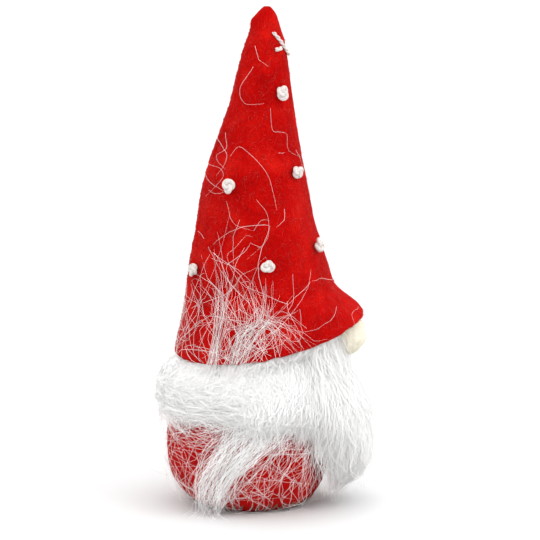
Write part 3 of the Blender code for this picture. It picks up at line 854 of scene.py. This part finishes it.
def strands(seed, count, stations, side=1.0, loose=0.12, curl=0.6, clumps=0, pull=0.6,
            hang=0.0, by_share=False, samples=11):
    """Strand paths over the sack.

    A station is (lowest, highest mm), (first, last degrees from the front), (nearest, farthest
    lift). Lift is in mm, or a share of the fur's thickness with by_share.
    """
    rng = np.random.default_rng(seed)
    stations = np.array(stations, dtype=float)
    own_place = rng.uniform(size=(count, 1, 3))
    place = own_place + loose * rng.normal(size=(count, len(stations), 3))
    keys = stations[None, :, :, 0] + (stations[..., 1] - stations[..., 0])[None] * place
    keys[..., 0] *= MM
    keys[..., 1] = side * np.radians(keys[..., 1])
    path = smooth_path(keys, samples)
    path[..., 0] += curl * MM * wander(rng, count, samples)
    path[..., 1] += curl * MM / (FUR_RADIUS * MM) * wander(rng, count, samples)
    if clumps:
        path = gather(rng, path, clumps, pull)
    height, angle = path[..., 0], path[..., 1]
    lift = path[..., 2] + (0.0 if by_share else 0.5 * curl * wander(rng, count, samples))
    skin = SACK.radius(np.maximum(height, SACK.low), angle)
    hung = np.maximum.accumulate(skin, axis=1)
    base = skin + (hung - skin) * hang
    brim = brim_at(angle)
    room = hat_from_sack(np.maximum(height, brim + 0.5 * MM), angle)
    room = room - FELT - 0.45 * MM + np.maximum(brim - height, 0.0) * 1.3
    if by_share:
        full = PILE.radius(height, angle) - SACK.radius(height, angle)
        rim = ease(height, brim - 6.0 * MM, brim - 0.5 * MM)
        edge = np.minimum(room, hat_from_sack(brim, angle) - 0.3 * MM)
        full = full + (np.maximum(edge - SACK.radius(height, angle), full) - full) * rim
        out = base + np.maximum(lift, 0.02) * np.maximum(full, 0.4 * MM)
    else:
        out = base + lift * MM
    out = np.minimum(np.maximum(out, skin + 0.15 * MM), room)
    return SACK.place(np.maximum(height, 0.12 * MM), angle, out)


def under_nose(paths):
    """Strands pass round the nose ball instead of through it."""
    centre = np.array(NOSE_CENTRE)
    away = paths - centre
    distance = np.linalg.norm(away, axis=-1, keepdims=True)
    clear = NOSE_RADIUS + 0.2 * MM
    return np.where(distance < clear, centre + away / np.maximum(distance, 1e-6) * clear, paths)


def taper(paths, seed, thin, thick):
    rng = np.random.default_rng(seed)
    t = np.linspace(0.0, 1.0, paths.shape[1])[None]
    return rng.uniform(thin, thick, (len(paths), 1)) * MM * (1.0 - 0.62 * t ** 2)


def lay_fur(name, paths, seed, thin=0.045, thick=0.08, material="fur"):
    """Hair as thin tubes, in pieces of at most STRANDS_PER_PIECE strands."""
    parts = math.ceil(len(paths) / STRANDS_PER_PIECE)
    for part, chunk in enumerate(np.array_split(paths, parts), start=1):
        tube_piece(f"{name}_{part}" if parts > 1 else name, chunk,
                   taper(chunk, seed + part, thin, thick), material)


def make_undercoat(name, node, first, last, columns):
    """Matted fur next to the sack, thick in the middle and thin at its free edges."""
    angle = np.radians(np.linspace(first, last, columns))[:, None]
    turn = np.abs(np.remainder(angle + math.pi, TAU) - math.pi)
    t = np.linspace(0.0, 1.0, UNDERCOAT_ROWS)[None]
    front = 1.0 - ease(turn, math.radians(15.0), math.radians(40.0))
    bottom = (34.0 - 17.0 * front) * MM
    bottom = bottom + 1.3 * MM * wave_field(SACK.point(bottom, angle), 4.0 * MM, 61)
    nose = 1.0 - ease(turn, math.radians(14.0), math.radians(44.0))
    top = (51.0 - 8.0 * nose) * MM
    height = bottom + (top - bottom) * t
    full = PILE.radius(height, angle) - SACK.radius(height, angle)
    soft = np.sin(math.pi * np.clip(t * 1.15, 0.0, 1.0)) ** 0.6
    across = np.linspace(0.0, 1.0, columns)[:, None]
    ends = ease(across, -0.02, 0.05) * (1.0 - ease(across, 0.95, 1.02))
    lift = 0.30 * MM + np.maximum(0.50 * full - 0.3 * MM, 0.5 * MM) * soft * ends
    base = SACK.point(height, angle)
    lift = lift * (1.0 + 0.10 * wave_field(base, 3.0 * MM, 62) + 0.05 * wave_field(base, 1.0 * MM, 63))
    outer = SACK.point(height, angle, lift)
    brim = brim_at(angle + 0.0 * t)
    room = hat_from_sack(np.maximum(height, brim), angle)
    room = room - FELT - 0.5 * MM + np.maximum(brim - height, 0.0) * 1.2
    reach = np.minimum(SACK.radius(height, angle) + lift, room)
    outer = under_nose(SACK.place(height, angle, reach))
    inner = SACK.point(height, angle, np.full_like(height, 0.2 * MM))
    grid = np.concatenate([outer, inner[:, ::-1]], axis=1)
    mesh = ring_mesh(name, grid, top_pole=grid[-1].mean(axis=0), bottom_pole=grid[0].mean(axis=0))
    bm = bmesh.new()
    bm.from_mesh(mesh)
    bmesh.ops.recalc_face_normals(bm, faces=bm.faces)
    bm.to_mesh(mesh)
    bm.free()
    piece = link(name, mesh)
    mesh.materials.append(MATERIALS["undercoat"])
    own(piece, [node])


def lay_beard_front():
    """Beard in front of the sack: hangs from under the nose, with a few wisps off it."""
    front = strands(101, 5800, [
        [(37, 46), (-36, 36), (0.1, 0.8)], [(30, 38), (-36, 36), (0.3, 1.0)],
        [(17, 26), (-33, 33), (0.4, 1.02)], [(5, 14), (-27, 27), (0.3, 1.0)],
    ], curl=0.35, clumps=420, pull=0.18, hang=0.55, by_share=True)
    wisps = strands(102, 90, [
        [(20, 28), (-24, 24), (6, 11)], [(12, 18), (-24, 24), (8, 12)], [(5, 11), (-20, 20), (11, 16)],
    ], curl=0.8, clumps=14, pull=0.5)
    lay_fur("beard_front", under_nose(np.concatenate([front, wisps])), 1000, 0.04, 0.072)


def lay_beard_side(label, side, seed):
    """Side of the beard: straight down from the brim, the hem rising towards the back."""
    sides = [
        strands(seed + 1, 620, [
            [(44, 54), (27, 46), (0.1, 0.98)], [(35, 42), (28, 46), (0.3, 1.0)],
            [(25, 32), (27, 46), (0.3, 1.0)], [(15, 23), (25, 45), (0.1, 0.9)],
        ], side, curl=0.4, clumps=70, pull=0.2, hang=0.3, by_share=True),
        strands(seed + 2, 1500, [
            [(44, 53), (34, 60), (0.1, 0.98)], [(38, 44), (34, 60), (0.4, 1.0)],
            [(31, 37), (36, 60), (0.3, 1.0)], [(22, 30), (38, 60), (0.1, 0.9)],
        ], side, curl=0.4, clumps=140, pull=0.2, hang=0.3, by_share=True),
        strands(seed + 3, 3300, [
            [(45, 53), (57, 101), (0.1, 0.98)], [(39, 45), (58, 101), (0.4, 1.0)],
            [(33, 39), (60, 99), (0.3, 1.0)], [(26, 32), (62, 96), (0.1, 0.9)],
        ], side, loose=0.16, curl=0.5, clumps=260, pull=0.25, hang=0.3, by_share=True),
        strands(seed + 4, 300, [
            [(35, 42), (60, 100), (0.5, 1.1)], [(29, 34), (64, 98), (0.5, 1.2)],
            [(23, 28), (70, 94), (0.3, 1.0)],
        ], side, curl=1.0, clumps=24, pull=0.45, by_share=True),
        # tufts from under the brim, beside and behind the nose
        strands(seed + 14, 300, [
            [(50, 56), (22, 50), (3, 7)], [(45, 50), (22, 50), (4, 9)], [(37, 43), (20, 48), (4, 9)],
        ], side, curl=0.6, clumps=30, pull=0.4),
        strands(seed + 15, 420, [
            [(52, 58), (3, 32), (0.5, 5)], [(46, 51), (4, 34), (2, 8)], [(38, 43), (2, 30), (4, 9)],
        ], side, curl=0.6, clumps=40, pull=0.3),
    ]
    lay_fur(f"beard_side_{label}", under_nose(np.concatenate(sides)), seed)


def lay_side_lock(label, side, seed):
    """Swept lock: gathers on the side, crosses the sack and spreads on the floor."""
    lock = [
        strands(seed + 5, 105, [
            [(29, 34), (66, 106), (0.8, 2.2)], [(23, 27), (74, 110), (0.6, 2.2)],
            [(17, 22), (88, 114), (0.4, 2.0)], [(9, 13), (106, 128), (0.4, 2.0)],
            [(1.0, 4.0), (116, 135), (2.0, 6.0)],
        ], side, loose=0.12, curl=0.4, clumps=26, pull=0.5, samples=13),
        strands(seed + 6, 64, [
            [(27, 33), (60, 100), (0.4, 2.0)], [(20, 25), (86, 116), (0.4, 1.8)],
            [(11, 16), (104, 130), (0.4, 1.6)], [(2, 6), (112, 138), (0.6, 3.6)],
        ], side, loose=0.16, curl=0.6, clumps=20, pull=0.3, samples=13),
        strands(seed + 7, 34, [
            [(18, 24), (90, 108), (0.8, 2.4)], [(9, 13), (108, 124), (0.8, 2.4)],
            [(2.0, 4.0), (116, 132), (3.0, 6.0)], [(0.3, 1.0), (112, 130), (7.0, 14.0)],
        ], side, loose=0.2, curl=0.7, clumps=6, pull=0.5, samples=13),
    ]
    lay_fur(f"side_lock_{label}", np.concatenate(lock), seed + 10, 0.04, 0.065)


def lay_back_hair(label, side, seed):
    """Hair round the back: shorter and tangled, with curly strands on top."""
    hair = strands(seed + 8, 3300, [
        [(43, 51), (96, 181), (0.1, 0.98)], [(39, 45), (95, 182), (0.4, 1.0)],
        [(34, 40), (94, 183), (0.4, 1.0)], [(28.5, 35), (92, 184), (0.1, 0.9)],
    ], side, loose=0.18, curl=0.9, clumps=260, pull=0.25, hang=0.2, by_share=True)
    curls = strands(seed + 9, 420, [
        [(40, 48), (100, 180), (0.5, 0.9)], [(36, 43), (96, 182), (0.8, 1.12)],
        [(32, 40), (94, 183), (0.8, 1.12)], [(28, 38), (92, 184), (0.7, 1.1)],
    ], side, loose=0.3, curl=1.6, by_share=True)
    lay_fur(f"hair_back_{label}", np.concatenate([hair, curls]), seed + 20)


def lay_loose_strands(label, side, seed):
    """Single strands over the bare part of the sack."""
    nets = [
        strands(seed + 31, 38, [
            [(26, 32), (50, 92), (0.4, 1.4)], [(19, 26), (66, 98), (0.3, 1.0)],
            [(10, 19), (80, 112), (0.3, 1.0)], [(2, 12), (88, 122), (0.4, 1.6)],
        ], side, loose=0.18, curl=0.9, clumps=40, pull=0.3, samples=13),
        strands(seed + 32, 50, [
            [(22, 31), (26, 74), (0.6, 2.0)], [(15, 27), (28, 84), (0.4, 1.6)],
            [(4, 18), (28, 96), (0.4, 1.8)],
        ], side, loose=0.3, curl=1.8, samples=13),
        strands(seed + 33, 46, [
            [(20, 28), (24, 52), (1.0, 3.0)], [(12, 20), (24, 54), (0.6, 2.4)],
            [(5, 13), (24, 58), (0.5, 2.0)],
        ], side, loose=0.15, curl=0.7, clumps=30, pull=0.4, samples=13),
        strands(seed + 34, 36, [
            [(18, 31), (98, 176), (0.4, 1.4)], [(8, 25), (96, 178), (0.3, 1.0)],
            [(2, 20), (94, 180), (0.4, 1.4)],
        ], side, loose=0.45, curl=2.4, samples=13),
        strands(seed + 35, 26, [
            [(27, 32), (104, 180), (0.4, 1.4)], [(24, 29), (100, 180), (0.3, 1.2)],
            [(21, 28), (98, 182), (0.4, 1.2)],
        ], side, loose=0.4, curl=2.0, samples=13),
        strands(seed + 36, 30, [
            [(8, 13), (40, 178), (0.3, 1.2)], [(3, 6), (40, 178), (0.8, 2.2)],
            [(0.2, 2.0), (40, 178), (0.5, 5.5)],
        ], side, loose=0.1, curl=1.2, samples=13),
    ]
    lay_fur(f"loose_strands_{label}", np.concatenate(nets), seed + 30, 0.034, 0.056, "loose_hair")


def make_fur():
    make_undercoat("beard_undercoat", "beard_pile", -97.0, 97.0, 150)
    make_undercoat("hair_undercoat", "hair_pile", 99.0, 261.0, 120)
    lay_beard_front()
    for label, side, seed in (("right", -1.0, 200), ("left", 1.0, 300)):
        lay_beard_side(label, side, seed)
        lay_side_lock(label, side, seed)
        lay_back_hair(label, side, seed)
        lay_loose_strands(label, side, seed)


# ---------------------------------------------------------------- strands and fibres on the hat

# White strands caught on the felt, as (height mm, degrees from the front) points. Their points
# were picked by eye on the photograph, and a helper script turned most of them into these numbers.
STRAYS = [
    [(139, 122), (136, 110), (135, 106), (133, 84)],
    [(133, 120), (130, 132), (126, 146), (122, 130), (122, 94)],
    [(121, 82), (115, 80), (114, 70), (113, 54), (108, 52), (105, 8)],
    [(107, 136), (110, 126), (107, 104), (102, 88), (96, 82), (92, 78)],
    [(113, 158), (109, 144), (106, 160), (103, 138)],
    [(111, 176), (109, 150), (106, 140), (101, 150)],
    [(103, 174), (103, 148), (101, 140), (97, 150), (94, 162)],
    [(100, 176), (98, 150), (97, 134)],
    [(96, 158), (96, 142), (98, 126)],
    [(108, 72), (108, 60)],
    [(108, 34), (105, 26), (102, 22)],
    [(106, 6), (104, 16), (101, 24)],
    [(94, 132), (89, 124), (87, 116), (86, 102)],
    [(89, 116), (84, 120), (80, 120), (76, 116)],
    [(95, 100), (91, 90), (86, 88), (83, 90), (80, 100), (77, 108)],
    [(86, 102), (89, 94), (89, 86)],
    [(92, 70), (89, 72), (87, 80)],
    [(81, 110), (76, 116), (70, 118), (63, 122)],
    [(77, 140), (75, 116), (71, 102), (67, 94)],
    [(78, 142), (72, 148), (64, 144), (56, 146)],
    [(68, 6), (70, 34), (70, 46)],
    [(70, 48), (68, 58), (66, 68), (62, 82), (59, 94)],
    [(73, 66), (66, 68), (62, 74), (57, 74)],
    [(62, 30), (59, 42), (58, 50), (57, 56), (56, 70)],
    [(63, 64), (55, 66)],
    [(60, 6), (59, 22), (54, 24)],
    [(60, 142), (61, 118), (61, 100)],
    [(71, 110), (71, 104), (67, 100), (63, 98)],
    [(61, 90), (64, 88), (67, 94)],
    [(68, 160), (62, 144), (58, 126)],
    [(64, 176), (62, 142), (56, 132)],
    [(60, 90), (55, 78), (49, 64)],
    [(60, 91), (57, 72), (51, 52)],
    [(60, 92), (56, 84), (48, 70)],
    [(59, 90), (63, 80), (67, 68)],
    [(47, 136), (52, 156), (63, 150)],
]


def traced_strands(side, seed, rows):
    """The traced strands on one side of the hat, with a little wander."""
    rng = np.random.default_rng(seed)
    samples = 21
    paths = []
    for keys in rows:
        keys = np.array(keys, dtype=float)[None]
        path = smooth_path(keys, samples)
        height = path[..., 0] * MM + 0.25 * MM * wander(rng, 1, samples, (1.5, 3.0))
        angle = side * (np.radians(path[..., 1]) + 0.012 * wander(rng, 1, samples, (1.5, 3.0)))
        lift = 0.16 * MM + 0.25 * MM * np.sin(math.pi * np.linspace(0.0, 1.0, samples)) ** 2
        paths.append(HAT.point(height, angle, lift)[0])
    return np.array(paths)


def tangle(seed, count, stations, side, loose, curl, clumps=0, pull=0.4, over=-0.5):
    """Strands over the hat's felt; stations are (mm range), (degree range).

    Below the brim a strand moves out by over times its depth, or in where over is negative.
    """
    samples = 13
    rng = np.random.default_rng(seed)
    stations = np.array(stations, dtype=float)
    place = rng.uniform(size=(count, 1, 2)) + loose * rng.normal(size=(count, len(stations), 2))
    keys = stations[None, :, :, 0] + (stations[..., 1] - stations[..., 0])[None] * place
    keys[..., 0] *= MM
    keys[..., 1] = np.radians(keys[..., 1]) * side
    path = smooth_path(keys, samples)
    path[..., 0] += curl * MM * wander(rng, count, samples)
    path[..., 1] += curl * MM / (HAT_RADIUS * MM) * wander(rng, count, samples)
    if clumps:
        path = gather(rng, path, clumps, pull)
    height, angle = path[..., 0], path[..., 1]
    t = np.linspace(0.0, 1.0, samples)[None]
    off = rng.uniform(0.1, 0.6, (count, 1)) * MM * np.sin(math.pi * (0.12 + 0.80 * t)) + 0.1 * MM
    below = np.maximum(brim_at(angle) - height, 0.0)
    radius = HAT.radius(np.maximum(height, brim_at(angle)), angle)
    return HAT.place(height, angle, radius + off + over * below)


def make_hat_strays():
    for label, side, seed in (("right", -1.0, 500), ("left", 1.0, 600)):
        share = 1.0 if side < 0.0 else 0.6
        rows = STRAYS if side < 0.0 else STRAYS[1::2]
        lay_fur(f"hat_strays_{label}", traced_strands(side, seed, rows), seed, 0.026, 0.038, "loose_hair")
        groups = [
            # two bundles that rise from the brim and splay
            tangle(seed + 1, int(24 * share), [
                [(39, 46), (120, 132)], [(52, 57), (121, 127)], [(63, 67), (119, 127)],
                [(67, 75), (108, 138)],
            ], side, 0.12, 0.8, 6, 0.3, 0.75),
            tangle(seed + 2, int(30 * share), [
                [(38, 46), (106, 118)], [(52, 57), (100, 110)], [(59, 62), (90, 98)],
                [(63, 73), (84, 106)],
            ], side, 0.12, 0.8, 8, 0.3, 0.75),
            # crosshatch of fine strands low on the side
            tangle(seed + 3, int(28 * share), [
                [(45, 50), (90, 122)], [(54, 58), (90, 114)], [(58, 66), (84, 112)],
            ], side, 0.3, 1.8),
            tangle(seed + 4, int(20 * share), [
                [(47, 60), (84, 104)], [(50, 64), (96, 120)], [(50, 66), (112, 136)],
            ], side, 0.4, 2.2),
            # open tangle towards the back
            tangle(seed + 5, int(22 * share), [
                [(45, 50), (118, 176)], [(52, 60), (116, 174)], [(54, 70), (112, 178)],
            ], side, 0.35, 3.0),
            # fan from the meeting point to the front brim
            tangle(seed + 6, int(16 * share), [
                [(58, 62), (88, 94)], [(55, 60), (72, 84)], [(47, 56), (52, 80)],
            ], side, 0.2, 0.9),
            # a few long ones higher up
            tangle(seed + 7, int(5 * share), [
                [(60, 72), (90, 150)], [(68, 84), (90, 150)], [(76, 96), (100, 165)],
            ], side, 0.4, 3.0),
        ]
        lay_fur(f"hat_tangle_{label}", np.concatenate(groups), seed + 8, 0.034, 0.056, "loose_hair")


def felt_fibres(name, skin, low, high, count, seed, lowest=None):
    """Short wool ends on a felt face: most lie flat, some stand a little off it."""
    rng = np.random.default_rng(seed)
    samples = 5
    height = rng.uniform(low, high, (count, 1)) + 0.0 * np.zeros((1, samples))
    angle = rng.uniform(0.0, TAU, (count, 1))
    radius = skin.radius(height, angle + 0.0 * height)
    keep = rng.uniform(0.0, radius.max(), count) < radius[:, 0]
    height, angle, radius = height[keep], angle[keep], radius[keep]
    count = len(height)
    t = np.linspace(-0.5, 0.5, samples)[None]
    length = rng.uniform(0.8, 3.2, (count, 1)) * MM
    heading = rng.uniform(0.0, TAU, (count, 1)) + rng.normal(size=(count, 1)) * 1.6 * t
    height = height + length * t * np.cos(heading)
    angle = angle + length * t * np.sin(heading) / np.maximum(radius, 3.0 * MM)
    tip = rng.exponential(FIBRE_STAND, (count, 1)) * MM
    lift = 0.04 * MM + tip * (2.0 * np.abs(t)) ** 2
    if lowest is not None:
        height = np.maximum(height, lowest(angle) + 0.1 * MM)
    paths = skin.point(height, angle, lift)
    radii = rng.uniform(0.018, 0.034, (count, 1)) * MM * (1.0 - 0.5 * (2.0 * np.abs(t)) ** 2)
    tube_piece(name, paths, radii, "red_fibre")


make_hat()
make_sack()
make_nose()
make_knots()
make_tip_stitches()
make_hat_seam()
make_base_seam()
PILE = Skin(["beard_pile", "hair_pile"], SACK_AXIS, 5.0 * MM, 54.0 * MM, 60, 120)
make_fur()
make_hat_strays()
felt_fibres("hat_fibres", HAT, 47.0 * MM, HEIGHT - 3.0 * MM, 9000, 701, brim_at)
felt_fibres("sack_fibres", SACK, 2.0 * MM, 40.0 * MM, 2200, 702)
finish_carried_nodes()
